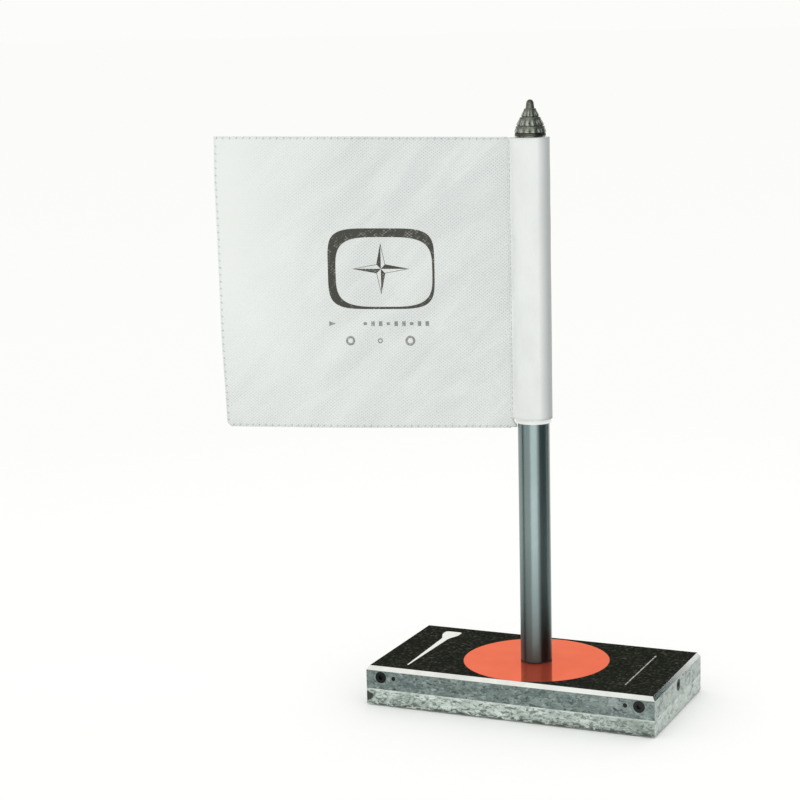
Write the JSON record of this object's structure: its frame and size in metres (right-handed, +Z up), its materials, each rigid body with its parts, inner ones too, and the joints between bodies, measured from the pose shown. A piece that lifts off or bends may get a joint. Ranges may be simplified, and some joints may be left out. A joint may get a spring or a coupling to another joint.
{
  "type": "desk flag stand",
  "caption": "Desk flag stand: layered rectangular base with inlaid top, screw-in pole, swivelling cloth flag on a stiff sleeve and a turned finial.",
  "frame": {"origin": "on the pole's axis, at the underside of the felt pad, where the stand rests", "axes": "+X along the base's length, -Y towards the front, +Z up the pole"},
  "size_m": [0.1459, 0.05, 0.1914],
  "materials": {
    "felt": "matte",
    "light_stone": "matte",
    "ballast_steel": "satin",
    "dark_stone": "satin",
    "trim_metal": "gloss",
    "black_gloss": "gloss",
    "red_gloss": "gloss",
    "white_enamel": "gloss",
    "grey_enamel": "gloss",
    "black_screw": "satin",
    "zinc_steel": "satin",
    "dark_rubber": "matte",
    "pole_steel": "polished",
    "brass_insert": "satin",
    "spindle_steel": "satin",
    "clear_plastic": "satin",
    "nylon": "satin",
    "flag_fabric": "matte",
    "dark_pewter": "satin",
    "pewter": "satin"
  },
  "bodies": {
    "base": {"felt_pad": "felt", "plinth": "light_stone", "ballast_block": "ballast_steel", "cover": "dark_stone", "edge_trim": "trim_metal", "top_plate": "black_gloss", "disc_inlay": "red_gloss", "tee_inlay": "white_enamel", "line_inlay": "grey_enamel", "side_screws": "black_screw", "side_pins": "black_screw", "base_stud": "zinc_steel", "stud_washer": "zinc_steel", "stud_nut": "zinc_steel", "lock_nut": "zinc_steel"},
    "foot_washer": {"foot_washer": "dark_rubber"},
    "pole": {"pole_tube": "pole_steel", "foot_insert": "brass_insert", "reducer_bush": "brass_insert", "spindle": "spindle_steel"},
    "flag": {"sleeve_tube": "clear_plastic", "lower_swivel_bush": "nylon", "upper_swivel_bush": "nylon", "flag_cloth": "flag_fabric"},
    "finial_collar": {"finial_collar": "dark_pewter"},
    "finial": {"finial": "pewter", "finial_stud": "zinc_steel"}
  },
  "joints": [
    {"name": "pole_rise", "type": "slide", "parent": "base", "child": "foot_washer", "axis": [0, 0, 1], "range_m": [0, 0.0096]},
    {"name": "pole_turn", "type": "hinge", "parent": "foot_washer", "child": "pole", "pos_m": [0, 0, 0.05], "axis": [0, 0, 1], "range_deg": [0, 4326]},
    {"name": "flag_swivel", "type": "hinge", "parent": "pole", "child": "flag", "pos_m": [0, 0, 0.13], "axis": [0, 0, 1], "continuous": true},
    {"name": "finial_rise", "type": "slide", "parent": "pole", "child": "finial_collar", "axis": [0, 0, 1], "range_m": [0, 0.006]},
    {"name": "finial_turn", "type": "hinge", "parent": "finial_collar", "child": "finial", "pos_m": [0, 0, 0.185], "axis": [0, 0, 1], "range_deg": [0, 4326]}
  ],
  "couplings": [
    {"joint": "pole_turn", "follows": "pole_rise", "rad_per_m": 7854},
    {"joint": "finial_turn", "follows": "finial_rise", "rad_per_m": 12566}
  ]
}
